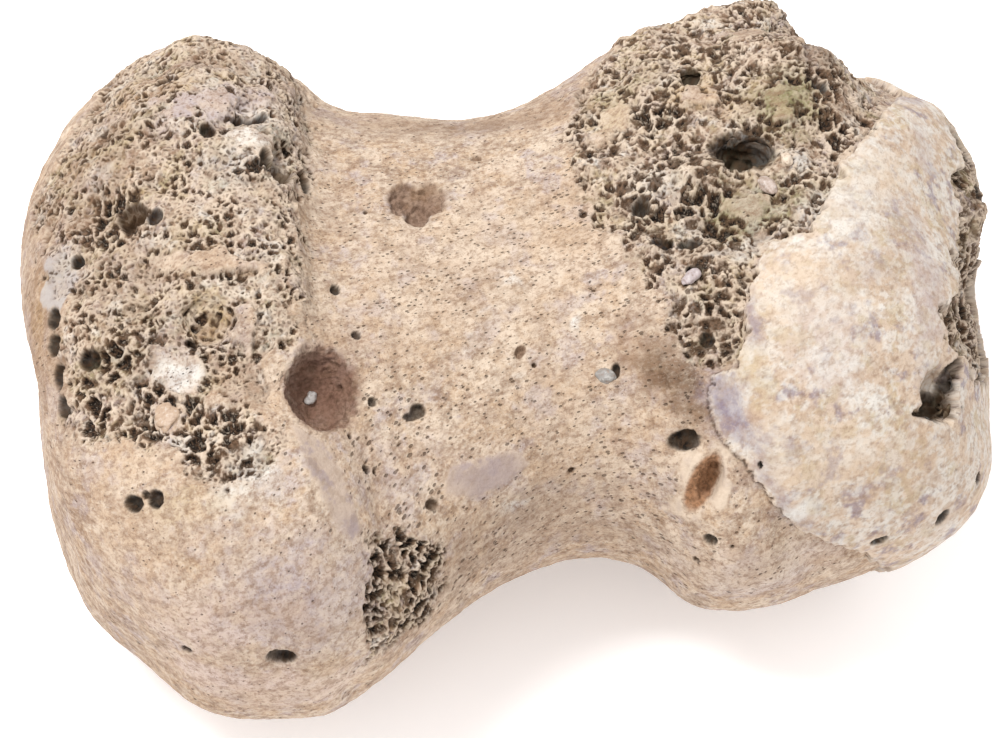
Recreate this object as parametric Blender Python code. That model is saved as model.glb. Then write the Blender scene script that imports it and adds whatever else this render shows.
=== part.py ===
"""Toe bone (proximal phalanx) of a mastodon, as one solid that lies on its back face.

Metres, +Z up. +X runs along the bone, from the joint face of the near end (proximal) to the roller of the
far end (distal). +Y is the flank whose roller edge is broken off, and +Z is the palm side, uppermost here.
"""

import math
from collections import namedtuple

import bmesh
import bpy
import numpy as np
from mathutils import Matrix, Quaternion, Vector
from mathutils.bvhtree import BVHTree

MM = 0.001

# All sizes are millimetres, and places are measured from a point on the bone's long axis, AXIS_HEIGHT
# above the floor.
AXIS_HEIGHT = 25.8

# Half widths (far flank, near flank) and half heights (palm, back) of the sections square to the axis.
Section = namedtuple("Section", "x far near palm back")
SECTIONS = (
    Section(x=-31.0, far=40.9, near=42.4, palm=27.0, back=25.4),
    Section(x=-25.0, far=40.4, near=43.0, palm=25.8, back=24.8),
    Section(x=-21.0, far=37.3, near=41.4, palm=23.8, back=23.6),
    Section(x=-18.0, far=34.0, near=39.6, palm=21.8, back=22.4),
    Section(x=-14.0, far=30.8, near=36.4, palm=20.9, back=21.2),
    Section(x=-8.0, far=28.8, near=32.4, palm=20.3, back=19.8),
    Section(x=-1.0, far=27.2, near=28.8, palm=20.0, back=19.0),
    Section(x=6.0, far=27.8, near=27.4, palm=20.2, back=19.0),
    Section(x=12.5, far=30.8, near=29.2, palm=21.2, back=20.4),
    Section(x=18.5, far=34.6, near=34.8, palm=22.8, back=22.0),
    Section(x=25.0, far=37.0, near=36.2, palm=24.2, back=23.8),
    Section(x=33.0, far=37.2, near=33.8, palm=25.0, back=25.0),
)
SECTION_SQUARENESS = 2.35

# Beyond the outer sections the ends close. A smaller power leaves that direction more square.
End = namedtuple("End", "depth width_power height_power")
JOINT_END = End(depth=24.8, width_power=0.90, height_power=0.50)
ROLLER_END = End(depth=22.6, width_power=0.60, height_power=1.00)

# Broad rises and hollows of the surface: middle and reach along X, Y and Z, and height out of the bone.
Rise = namedtuple("Rise", "name middle reach height")
RISES = (
    Rise("joint_face_dish", (-56.0, 2.0, 0.0), (9.0, 24.0, 17.0), -3.2),
    Rise("far_tubercle", (-31.0, 20.0, 25.0), (10.0, 13.0, 12.0), 2.6),
    Rise("near_tubercle", (-25.0, -34.0, 14.0), (15.0, 12.0, 14.0), 2.6),
    Rise("tubercle_saddle", (-38.0, -18.0, 26.0), (15.0, 6.0, 9.0), -2.2),
    Rise("hollow_below_tubercle", (-14.0, -26.0, 18.0), (7.0, 8.0, 9.0), -1.6),
    Rise("near_low_corner", (-50.0, -36.0, -4.0), (8.0, 12.0, 20.0), -1.6),
    Rise("roller_groove", (52.0, -3.0, 0.0), (16.0, 8.0, 34.0), -1.6),
    Rise("broken_far_corner", (45.5, 29.0, 12.0), (5.0, 10.0, 17.0), -6.5),
    Rise("sunk_spongy_bone", (27.0, 1.0, 26.0), (10.0, 11.0, 9.0), -1.8),
    Rise("far_spongy_crest", (37.5, 28.0, 17.0), (6.0, 9.0, 10.0), 2.6),
    Rise("near_knob", (25.0, -36.0, -2.0), (7.0, 8.0, 10.0), 1.6),
    Rise("far_roller_corner", (55.0, 15.0, 2.0), (7.0, 11.0, 18.0), 2.8),
    Rise("near_roller_corner", (50.0, -29.0, -2.0), (8.0, 8.0, 16.0), 1.6),
    Rise("far_joint_corner", (-47.0, 31.0, 14.0), (8.0, 10.0, 14.0), -1.6),
)

# Four low swellings of the back face, which the bone rests on.
REST_SWELLING_HEIGHT = 3.0
REST_SWELLING_REACH = 10.0
REST_PLACES = ((-30.0, 20.0), (-30.0, -21.0), (34.0, 17.0), (34.0, -17.0))

# The roller's smooth sheet stands proud of the bone beside it, along a slanting lip. The step is half
# above and half below the bone's main surface, and fades out from the palm side down to the back.
SHEET_HEIGHT = 1.9
SHEET_EDGE_WIDTH = 3.2
SHEET_HOLLOW_WIDTH = 8.0
SHEET_FADE_HEIGHTS = (-12.0, 4.0)
LIP_AT_AXIS_HEIGHT = 31.7
LIP_SLANT = 0.414
BROKEN_EDGE_START = (25.7, -14.8)
BROKEN_EDGE_SLANT = 0.80

# The rough top of the far tubercle ends towards the shaft in a scarp, which dies out at both of its ends.
SCARP_HEIGHT = 2.4
SCARP_X = -21.6
SCARP_SLANT = 0.07
SCARP_EDGE_WIDTH = 2.6
SCARP_REACH = 9.0
SCARP_LOW_HEIGHTS = (4.0, 14.0)
SCARP_NEAR_END = (-17.0, -9.0)
SCARP_FAR_END = (22.0, 32.0)

# Pits: place along the axis, angle from the far flank over the palm side, sizes and turn about the normal.
Pit = namedtuple("Pit", "name x angle length width depth turn")
PITS = (
    Pit("oval_pit", x=-21.5, angle=131.0, length=10.6, width=8.0, depth=5.0, turn=-15.0),
    Pit("heart_pit", x=-8.0, angle=75.0, length=6.2, width=5.4, depth=1.6, turn=40.0),
    Pit("vessel_hole", x=17.2, angle=151.0, length=3.8, width=2.2, depth=3.0, turn=60.0),
    Pit("vessel_slot", x=19.2, angle=158.5, length=6.4, width=2.6, depth=4.0, turn=-25.0),
    Pit("deep_spongy_hole", x=28.7, angle=78.0, length=3.4, width=6.0, depth=5.0, turn=15.0),
    Pit("far_spongy_hole", x=25.3, angle=51.0, length=2.6, width=2.4, depth=3.0, turn=0.0),
    Pit("crest_hole", x=40.0, angle=45.0, length=2.6, width=2.4, depth=2.5, turn=0.0),
    Pit("broken_edge_hole", x=46.0, angle=148.0, length=6.4, width=4.4, depth=4.0, turn=-30.0),
    Pit("round_spongy_pit", x=-33.0, angle=112.0, length=5.4, width=5.0, depth=2.0, turn=0.0),
    Pit("scarp_pit", x=-21.8, angle=67.0, length=4.6, width=4.0, depth=3.0, turn=0.0),
    Pit("scarp_slot", x=-25.2, angle=56.0, length=3.6, width=2.0, depth=2.5, turn=30.0),
)
PIT_SUBDIVISIONS = 2

RING_POINTS = 72
RING_SPACING = 1.75
END_RINGS = 15
BONE_COLOR = (0.66, 0.53, 0.42, 1.0)
BONE_ROUGHNESS = 0.78
BONE_METALLIC = 0.0


def clear_scene():
    for obj in list(bpy.data.objects):
        bpy.data.objects.remove(obj)


def blend(low, high, value):
    """Rises smoothly from 0 to 1 while the value goes from low to high."""
    t = min(max((value - low) / (high - low), 0.0), 1.0)
    return t * t * (3.0 - 2.0 * t)


def section_at(x):
    """The section at any place between the outer ones, on smooth curves through those listed."""
    places = np.array([section.x for section in SECTIONS])
    i = int(np.clip(np.searchsorted(places, x) - 1, 0, len(places) - 2))
    span = places[i + 1] - places[i]
    t = (x - places[i]) / span
    sizes = []
    for side in ("far", "near", "palm", "back"):
        values = np.array([getattr(section, side) for section in SECTIONS])
        slopes = np.gradient(values, places)
        rise = values[i + 1] - values[i]
        start, end = slopes[i] * span, slopes[i + 1] * span
        bend = (3 * rise - 2 * start - end) * t**2 + (start + end - 2 * rise) * t**3
        sizes.append(float(values[i] + start * t + bend))
    return Section(x, *sizes)


def end_section(outer, end, direction, turn):
    """A section of a closing end, where turn goes from 0 to a quarter circle at the tip."""
    width = math.cos(turn) ** end.width_power
    height = math.cos(turn) ** end.height_power
    x = outer.x + direction * end.depth * math.sin(turn)
    return Section(x, outer.far * width, outer.near * width, outer.palm * height, outer.back * height)


def all_sections():
    first, last = SECTIONS[0], SECTIONS[-1]
    turns = [math.pi / 2 * i / (END_RINGS + 1) for i in range(1, END_RINGS + 1)]
    between = round((last.x - first.x) / RING_SPACING) + 1
    joint = [end_section(first, JOINT_END, -1, turn) for turn in reversed(turns)]
    shaft = [section_at(x) for x in np.linspace(first.x, last.x, between)]
    roller = [end_section(last, ROLLER_END, 1, turn) for turn in turns]
    return joint + shaft + roller


def section_point(section, angle):
    c, s = math.cos(angle), math.sin(angle)
    power = 2.0 / SECTION_SQUARENESS
    width = section.far if c > 0 else section.near
    height = section.palm if s > 0 else section.back
    y = math.copysign(abs(c) ** power, c) * width
    z = math.copysign(abs(s) ** power, s) * height
    return Vector((section.x, y, z))


def sheet_step(place):
    """How far a place is raised for being on the roller's smooth sheet, or sunk for lying beside it."""
    lip = LIP_AT_AXIS_HEIGHT - LIP_SLANT * max(place.z, 0.0)
    broken_edge = BROKEN_EDGE_START[0] + BROKEN_EDGE_SLANT * (place.y - BROKEN_EDGE_START[1])
    past_edge = place.x - max(lip, broken_edge)
    on_sheet = blend(-SHEET_EDGE_WIDTH / 2, SHEET_EDGE_WIDTH / 2, past_edge)
    beside = blend(-SHEET_HOLLOW_WIDTH, 0.0, past_edge) * (1.0 - on_sheet)
    return SHEET_HEIGHT / 2 * (on_sheet - beside) * blend(*SHEET_FADE_HEIGHTS, place.z)


def scarp_step(place):
    """How far a place is raised for lying on the edge of the far tubercle's top, or sunk at its foot."""
    past_edge = place.x - SCARP_X - SCARP_SLANT * place.y
    beyond = blend(-SCARP_EDGE_WIDTH / 2, SCARP_EDGE_WIDTH / 2, past_edge)
    top = blend(-SCARP_REACH, 0.0, past_edge) * (1.0 - beyond)
    foot = blend(SCARP_REACH, 0.0, past_edge) * beyond
    length = blend(*SCARP_NEAR_END, place.y) * (1.0 - blend(*SCARP_FAR_END, place.y))
    return SCARP_HEIGHT / 2 * (top - foot) * length * blend(*SCARP_LOW_HEIGHTS, place.z)


def rise_at(place):
    total = sheet_step(place) + scarp_step(place)
    for rise in RISES:
        away = sum(((place[k] - rise.middle[k]) / rise.reach[k]) ** 2 for k in range(3))
        total += rise.height * math.exp(-away)
    if place.z < 0:
        for x, y in REST_PLACES:
            away = ((place.x - x) ** 2 + (place.y - y) ** 2) / REST_SWELLING_REACH**2
            total += REST_SWELLING_HEIGHT * math.exp(-away)
    return total


def loft_bone():
    mesh = bmesh.new()
    angles = [2 * math.pi * i / RING_POINTS for i in range(RING_POINTS)]
    rings = [[mesh.verts.new(section_point(s, a)) for a in angles] for s in all_sections()]
    for one, other in zip(rings, rings[1:]):
        for i in range(RING_POINTS):
            j = (i + 1) % RING_POINTS
            mesh.faces.new((one[i], one[j], other[j], other[i]))
    tips = (SECTIONS[0].x - JOINT_END.depth, SECTIONS[-1].x + ROLLER_END.depth)
    for ring, tip in zip((rings[0], rings[-1]), tips):
        pole = mesh.verts.new((tip, 0.0, 0.0))
        for i in range(RING_POINTS):
            mesh.faces.new((ring[i], ring[(i + 1) % RING_POINTS], pole))
    bmesh.ops.recalc_face_normals(mesh, faces=mesh.faces)
    return mesh


def raise_surface(mesh):
    mesh.normal_update()
    moves = [vert.normal * rise_at(vert.co) for vert in mesh.verts]
    for vert, move in zip(mesh.verts, moves):
        vert.co += move


def cut_rest_flats(mesh):
    """Cuts the back face's swellings off level with the floor, which leaves small flats."""
    geometry = mesh.verts[:] + mesh.edges[:] + mesh.faces[:]
    floor = Vector((0.0, 0.0, -AXIS_HEIGHT))
    bmesh.ops.bisect_plane(mesh, geom=geometry, plane_co=floor, plane_no=(0, 0, -1), clear_outer=True)
    rim = [edge for edge in mesh.edges if edge.is_boundary]
    bmesh.ops.holes_fill(mesh, edges=rim, sides=0)
    bmesh.ops.recalc_face_normals(mesh, faces=mesh.faces)


def place_over_origin(mesh):
    """Where the axis point goes, in mm, for the bone's box to stand on the floor, centred over the origin."""
    low = Vector(min(vert.co[k] for vert in mesh.verts) for k in range(3))
    high = Vector(max(vert.co[k] for vert in mesh.verts) for k in range(3))
    middle = (low + high) / 2
    return Vector((-middle.x, -middle.y, AXIS_HEIGHT))


def make_pit_cutter(pit, surface, axis_place, collection):
    """An egg-shaped cutter sunk in the surface, where a line from the axis at the pit's angle comes out."""
    angle = math.radians(pit.angle)
    outwards = Vector((0.0, math.cos(angle), math.sin(angle)))
    place, normal, _, _ = surface.ray_cast(Vector((pit.x, 0.0, 0.0)), outwards)
    if normal.dot(outwards) < 0:
        normal = -normal
    egg = bmesh.new()
    bmesh.ops.create_icosphere(egg, subdivisions=PIT_SUBDIVISIONS, radius=1.0)
    along_bone = Vector((1.0, 0.0, 0.0))
    around = normal.cross(along_bone).normalized()
    frame = Matrix((around.cross(normal), around, normal)).transposed().to_4x4()
    size = Matrix.Diagonal((pit.width / 2, pit.length / 2, pit.depth, 1.0))
    turned = Quaternion((0, 0, 1), math.radians(pit.turn)).to_matrix().to_4x4()
    egg.transform(Matrix.Translation(place) @ frame @ turned @ size)
    data = bpy.data.meshes.new(pit.name)
    egg.to_mesh(data)
    egg.free()
    cutter = bpy.data.objects.new(pit.name, data)
    cutter.scale = (MM, MM, MM)
    cutter.location = axis_place * MM
    cutter.hide_render = True
    cutter.display_type = "WIRE"
    collection.objects.link(cutter)


def bone_material():
    material = bpy.data.materials.new("fossil_bone")
    material.use_nodes = True
    shader = material.node_tree.nodes["Principled BSDF"]
    shader.inputs["Base Color"].default_value = BONE_COLOR
    shader.inputs["Roughness"].default_value = BONE_ROUGHNESS
    shader.inputs["Metallic"].default_value = BONE_METALLIC
    return material


def make_bone():
    mesh = loft_bone()
    raise_surface(mesh)
    cut_rest_flats(mesh)
    surface = BVHTree.FromBMesh(mesh)
    axis_place = place_over_origin(mesh)
    data = bpy.data.meshes.new("toe_bone")
    mesh.to_mesh(data)
    mesh.free()
    data.materials.append(bone_material())
    data.shade_smooth()
    bone = bpy.data.objects.new("toe_bone", data)
    bone.scale = (MM, MM, MM)
    bone.location = axis_place * MM
    bpy.context.scene.collection.objects.link(bone)
    cutters = bpy.data.collections.new("pit_cutters")
    bpy.context.scene.collection.children.link(cutters)
    for pit in PITS:
        make_pit_cutter(pit, surface, axis_place, cutters)
    pits = bone.modifiers.new("pits", "BOOLEAN")
    pits.operation = "DIFFERENCE"
    pits.operand_type = "COLLECTION"
    pits.collection = cutters
    pits.solver = "EXACT"


clear_scene()
make_bone()
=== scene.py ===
import math

import bmesh
import bpy
import numpy as np
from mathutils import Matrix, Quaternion, Vector, noise
from mathutils.bvhtree import BVHTree


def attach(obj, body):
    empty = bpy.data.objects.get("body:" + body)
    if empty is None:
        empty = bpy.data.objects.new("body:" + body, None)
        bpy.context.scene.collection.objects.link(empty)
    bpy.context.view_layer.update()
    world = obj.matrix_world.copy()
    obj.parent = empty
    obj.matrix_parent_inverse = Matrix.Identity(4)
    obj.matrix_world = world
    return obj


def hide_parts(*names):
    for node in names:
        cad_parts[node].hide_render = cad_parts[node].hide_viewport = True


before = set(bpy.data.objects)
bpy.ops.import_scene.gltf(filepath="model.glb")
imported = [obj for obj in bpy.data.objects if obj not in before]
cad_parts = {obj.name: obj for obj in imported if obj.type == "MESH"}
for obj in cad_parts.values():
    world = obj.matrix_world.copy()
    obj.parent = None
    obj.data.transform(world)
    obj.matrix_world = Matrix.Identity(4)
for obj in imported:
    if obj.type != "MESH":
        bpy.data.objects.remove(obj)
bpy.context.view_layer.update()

# Camera
# The bone lies palm side up, so it is seen from its near flank, from well above the floor,
# through a long lens. The picture is 1000 by 738 pixels, the bone about 970 of them long.
PICTURE_WIDTH = 1000
PICTURE_HEIGHT = 738
VIEW_AZIMUTH = math.radians(-8.5)
VIEW_ELEVATION = math.radians(55.0)
VIEW_DISTANCE = 0.52
VIEW_TARGET = Vector((-0.0027, -0.0031, 0.0263))
LENS_MM = 162.9
SENSOR_MM = 36.0

to_camera = Vector((
    math.sin(VIEW_AZIMUTH) * math.cos(VIEW_ELEVATION),
    -math.cos(VIEW_AZIMUTH) * math.cos(VIEW_ELEVATION),
    math.sin(VIEW_ELEVATION),
))


def put_in_scene(name, data):
    """A new object of the scene with this mesh, lamp or camera."""
    made = bpy.data.objects.new(name, data)
    bpy.context.scene.collection.objects.link(made)
    return made


camera_data = bpy.data.cameras.new("camera")
camera_data.lens = LENS_MM
camera_data.sensor_width = SENSOR_MM
camera = put_in_scene("camera", camera_data)
camera.location = VIEW_TARGET + to_camera * VIEW_DISTANCE
camera.rotation_euler = to_camera.to_track_quat("Z", "Y").to_euler()
bpy.context.scene.camera = camera

# Table and light
# A white light table under a strong, even light from all round, with a soft light box overhead. The
# glow of the table leaves only a faint shadow, in front of the bone's waist.
FLOOR_SIZE = 3.0
FLOOR_WHITE = (0.93, 0.91, 0.91, 1.0)
FLOOR_ROUGHNESS = 0.9
TABLE_GLOW = 0.30
ROOM_STRENGTH = 1.12
BOX_LIGHT_POWER = 7.0
BOX_LIGHT_SIZE = 0.30
BOX_LIGHT_PLACE = Vector((-0.28, 0.05, 0.80))
ROOM_WHITE = (1.0, 0.995, 0.99, 1.0)

floor_mesh = bpy.data.meshes.new("floor")
half = FLOOR_SIZE / 2
corners = [(-half, -half, 0), (half, -half, 0), (half, half, 0), (-half, half, 0)]
floor_mesh.from_pydata(corners, [], [(0, 1, 2, 3)])
floor = put_in_scene("floor", floor_mesh)
floor_material = bpy.data.materials.new("white_table")
floor_material.use_nodes = True
floor_shader = floor_material.node_tree.nodes["Principled BSDF"]
floor_shader.inputs["Base Color"].default_value = FLOOR_WHITE
floor_shader.inputs["Roughness"].default_value = FLOOR_ROUGHNESS
floor_shader.inputs["Emission Color"].default_value = FLOOR_WHITE
floor_shader.inputs["Emission Strength"].default_value = TABLE_GLOW
floor_mesh.materials.append(floor_material)

room = bpy.data.worlds.new("room")
room.use_nodes = True
room.node_tree.nodes["Background"].inputs["Color"].default_value = ROOM_WHITE
room.node_tree.nodes["Background"].inputs["Strength"].default_value = ROOM_STRENGTH
bpy.context.scene.world = room
box_light = bpy.data.lights.new("light_box", "AREA")
box_light.shape = "SQUARE"
box_light.size = BOX_LIGHT_SIZE
box_light.energy = BOX_LIGHT_POWER
box_light_object = put_in_scene("light_box", box_light)
box_light_object.location = BOX_LIGHT_PLACE
box_light_object.rotation_euler = BOX_LIGHT_PLACE.to_track_quat("Z", "Y").to_euler()
bpy.context.scene.view_settings.view_transform = "Standard"

# Close skin of the bone
# The fossil's own outline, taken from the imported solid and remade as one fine, even skin of
# small squares, smoothed until no facet of the solid shows.
MM = 0.001
MERGE_DISTANCE = 1e-6
SKIN_VOXEL = 0.0008
SKIN_SMOOTHING = 0.5
SKIN_SMOOTHING_STEPS = 4
SKIN_SUBDIVISIONS = 2
AXIS_PLACE_MM = np.array((-2.66, 1.41, 25.8))


def finished_mesh(holder, name):
    """The mesh of an object with its modifiers applied. The object itself is then removed."""
    graph = bpy.context.evaluated_depsgraph_get()
    made = bpy.data.meshes.new_from_object(holder.evaluated_get(graph), depsgraph=graph)
    made.name = name
    bpy.data.objects.remove(holder)
    return made


def close_skin():
    source = bmesh.new()
    source.from_mesh(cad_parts["toe_bone"].data)
    source.transform(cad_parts["toe_bone"].matrix_world)
    bmesh.ops.remove_doubles(source, verts=source.verts, dist=MERGE_DISTANCE)
    blank = bpy.data.meshes.new("skin")
    source.to_mesh(blank)
    source.free()
    holder = put_in_scene("skin", blank)
    remesh = holder.modifiers.new("even_skin", "REMESH")
    remesh.mode = "VOXEL"
    remesh.voxel_size = SKIN_VOXEL
    smooth = holder.modifiers.new("smooth", "SMOOTH")
    smooth.iterations = SKIN_SMOOTHING_STEPS
    smooth.factor = SKIN_SMOOTHING
    finer = holder.modifiers.new("finer", "SUBSURF")
    finer.levels = SKIN_SUBDIVISIONS
    finer.render_levels = SKIN_SUBDIVISIONS
    return finished_mesh(holder, "skin")


skin = close_skin()
skin_count = len(skin.vertices)
skin_places = np.empty(skin_count * 3, np.float32)
skin.vertices.foreach_get("co", skin_places)
skin_places = skin_places.reshape(-1, 3) / MM
skin_places -= AXIS_PLACE_MM

# Map of the bone
# Every place on the skin has a place along the bone and an angle round it, from the far flank (0)
# over the palm (90), the near flank (180) and the back (270). Marks seen in the picture are put on it.
ANGLE_TO_MM = 0.60
LOWEST_ANGLE = -70.0
skin_x = skin_places[:, 0]
skin_angle = np.degrees(np.arctan2(skin_places[:, 2], skin_places[:, 1]))
skin_angle = np.where(skin_angle < LOWEST_ANGLE, skin_angle + 360.0, skin_angle)
solid_surface = BVHTree.FromPolygons(
    [tuple(v.co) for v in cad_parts["toe_bone"].data.vertices],
    [tuple(p.vertices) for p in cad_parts["toe_bone"].data.polygons],
)
PIXELS_PER_UNIT = LENS_MM / SENSOR_MM * PICTURE_WIDTH
OUTLINE_SLACK = 0.08
SLACK_STEPS = 13
camera_right = Vector((math.cos(VIEW_AZIMUTH), math.sin(VIEW_AZIMUTH), 0.0))
camera_up = to_camera.cross(camera_right)


def seen(u, v):
    """The place on the bone, in mm from its axis, and the outward direction, where a pixel sees it.

    A pixel just past the outline is brought in towards the picture's middle until it meets the bone.
    """
    place = None
    for share in np.linspace(0.0, OUTLINE_SLACK, SLACK_STEPS):
        across = (u - PICTURE_WIDTH / 2) * (1.0 - share) / PIXELS_PER_UNIT
        upwards = (PICTURE_HEIGHT / 2 - v) * (1.0 - share) / PIXELS_PER_UNIT
        ray = camera_right * across + camera_up * upwards - to_camera
        place, normal, _, _ = solid_surface.ray_cast(camera.location, ray.normalized())
        if place is not None:
            break
    if place is None:
        raise ValueError(f"pixel {u}, {v} misses the bone")
    if normal.dot(ray) > 0:
        normal = -normal
    return np.array(place) / MM - AXIS_PLACE_MM, np.array(normal)


def mapped(u, v):
    """Where a pixel falls on the map: mm along the bone and degrees round it."""
    place, _ = seen(u, v)
    angle = math.degrees(math.atan2(place[2], place[1]))
    return float(place[0]), angle + 360.0 if angle < LOWEST_ANGLE else angle


def distance_in(corners, px, py):
    """How far each place on the skin lies inside a flat outline, in mm. Outside it is negative."""
    nearest = np.full(skin_count, 1e9, np.float32)
    within = np.zeros(skin_count, bool)
    for (ax, ay), (bx, by) in zip(corners, corners[1:] + corners[:1]):
        ex, ey = bx - ax, by - ay
        along = np.clip(((px - ax) * ex + (py - ay) * ey) / (ex * ex + ey * ey), 0.0, 1.0)
        nearest = np.minimum(nearest, np.hypot(px - ax - along * ex, py - ay - along * ey))
        if ey:
            within ^= ((ay > py) != (by > py)) & (px < ex * (py - ay) / ey + ax)
    return np.where(within, nearest, -nearest).astype(np.float32)


def inside(outline):
    """How far each place on the skin lies inside an outline on the map, in mm."""
    corners = [(x, angle * ANGLE_TO_MM) for x, angle in outline]
    return distance_in(corners, skin_x, skin_angle * ANGLE_TO_MM)


def outline_of(*pixels):
    return [mapped(u, v) for u, v in pixels]


# The skin is looked through this many reaches round a spot, and down a pit this much deeper.
SPOT_LIMIT = 1.7
DOWN_A_PIT = 2.2


def spot(pixel, reach, turn=0.0, places=skin_places, looking_in=False):
    """The skin round a pixel's place on the bone, and how far off it is, as a share of the spot's reach.

    The reach is in mm, along the picture's width and height, which are first turned anticlockwise. Looking
    into a pit, it is measured straight across the line of sight, and takes in the floor and the walls.
    """
    place, normal = seen(*pixel)
    depth = max(reach)
    if looking_in:
        normal = np.array(to_camera)
        depth *= DOWN_A_PIT
    sideways = np.array(camera_right) - normal * np.dot(camera_right, normal)
    sideways /= np.linalg.norm(sideways)
    upwards = np.cross(normal, sideways)
    c, s = math.cos(math.radians(turn)), math.sin(math.radians(turn))
    long_axis = sideways * c + upwards * s
    cross_axis = upwards * c - sideways * s
    near = np.flatnonzero((np.abs(skin_places - place.astype(np.float32)) < SPOT_LIMIT * depth).all(1))
    offset = places[near] - place
    flat = np.hypot(offset @ long_axis / reach[0], offset @ cross_axis / reach[1])
    return near, np.hypot(flat, offset @ normal / depth)


def store(mesh, name, values, kind="FLOAT"):
    attribute = mesh.attributes.new(name, kind, "POINT")
    field = {"FLOAT": "value", "FLOAT_VECTOR": "vector", "FLOAT_COLOR": "color"}[kind]
    attribute.data.foreach_set(field, np.ascontiguousarray(values, np.float32).ravel())


# Smooth sheet of the roller
# The bearing surface of the joint: a dense, polished sheet that wraps the far end. A slanting lip
# bounds it on the near side, and on the far side it is broken off along a ragged edge.
HIDDEN_SHEET_EDGE = [
    (42.0, 200.0), (38.0, 225.0), (37.0, 260.0), (37.0, 300.0), (37.0, 400.0), (90.0, 400.0),
    (90.0, -150.0), (38.0, -150.0), (38.0, -60.0), (41.0, -20.0), (45.0, 5.0),
]
roller_sheet = inside(outline_of(
    (903, 96), (880, 118), (862, 140), (838, 163), (826, 198), (806, 232), (772, 243), (757, 262),
    (747, 298), (738, 338), (735, 366), (712, 372), (704, 392), (720, 430), (744, 460), (768, 490),
    (786, 514), (800, 528), (832, 541), (868, 553),
) + HIDDEN_SHEET_EDGE)

# The right-hand edge of the sheet is broken off as well, along a strip that runs on down the end of the
# roller, out of the picture, and widens into a three-cornered hole.
END_VIEW_X = 40.0
FAR_OFF = 9.0
STRIP_FOOT = ((-19.0, 6.0), (-10.0, 1.0), (6.0, 1.5), (17.0, 5.0))
strip_edge = [tuple(seen(*pixel)[0][1:]) for pixel in (
    (947, 118), (953, 150), (951, 190), (958, 225), (949, 262), (953, 300), (947, 338), (956, 352))]
broken_strip = distance_in(list(STRIP_FOOT) + strip_edge, skin_places[:, 1], skin_places[:, 2])
broken_strip = np.where(skin_x > END_VIEW_X, broken_strip, -FAR_OFF)
broken_hole = inside(outline_of((962, 352), (958, 418), (936, 424), (912, 414), (930, 392), (944, 366)))

# Exposed spongy bone
# Where the outer sheet has worn away the honeycomb inside shows: large open cells over the far side
# of the roller end, in a band between the two tubercles, and under the near tubercle.
far_sponge = inside(outline_of(
    (585, 80), (620, 42), (660, 22), (700, 16), (745, 14), (790, 18), (822, 42), (852, 84),
    (878, 96), (903, 96), (880, 118), (862, 140), (838, 163), (826, 198), (806, 232), (772, 243),
    (757, 262), (747, 298), (738, 338), (735, 370), (712, 372), (690, 350), (668, 318), (640, 268),
    (612, 232), (590, 205), (572, 170), (566, 130),
))
far_sponge_hidden = inside([(17.0, 12.0), (17.0, 60.0), (30.0, 62.0), (42.0, 60.0), (50.0, 40.0), (46.0, 8.0),
                            (30.0, -4.0)])
far_sponge = np.maximum(far_sponge, far_sponge_hidden)
tubercle_band = inside(outline_of(
    (74, 438), (70, 405), (84, 380), (118, 370), (150, 384), (182, 392), (214, 404), (246, 414),
    (268, 436), (266, 458), (244, 474), (212, 484), (186, 474), (176, 446), (140, 432), (104, 440),
))
low_sponge = inside(outline_of(
    (374, 538), (398, 528), (428, 536), (446, 556), (446, 590), (424, 622), (396, 646), (370, 652),
    (362, 616), (368, 576),
))
# The far tubercle is weathered down to finer cells all over its top, as far as the scarp over the shaft.
far_top = inside(outline_of(
    (66, 150), (100, 92), (150, 60), (200, 45), (256, 56), (290, 92), (312, 128), (306, 170), (302, 230),
    (303, 290), (300, 345), (268, 352), (256, 392), (240, 412), (196, 398), (150, 384), (84, 380), (58, 420),
    (52, 360), (62, 300), (40, 250), (34, 200),
))
far_top_hidden = inside([(-42.0, 20.0), (-40.0, 70.0), (-20.0, 62.0), (-19.0, 30.0), (-28.0, 12.0)])
far_top = np.maximum(far_top, far_top_hidden)
BAND_SPREAD = 0.7
sponge = np.maximum.reduce([
    far_sponge, tubercle_band + BAND_SPREAD, low_sponge, broken_strip, broken_hole, far_top,
])

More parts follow.
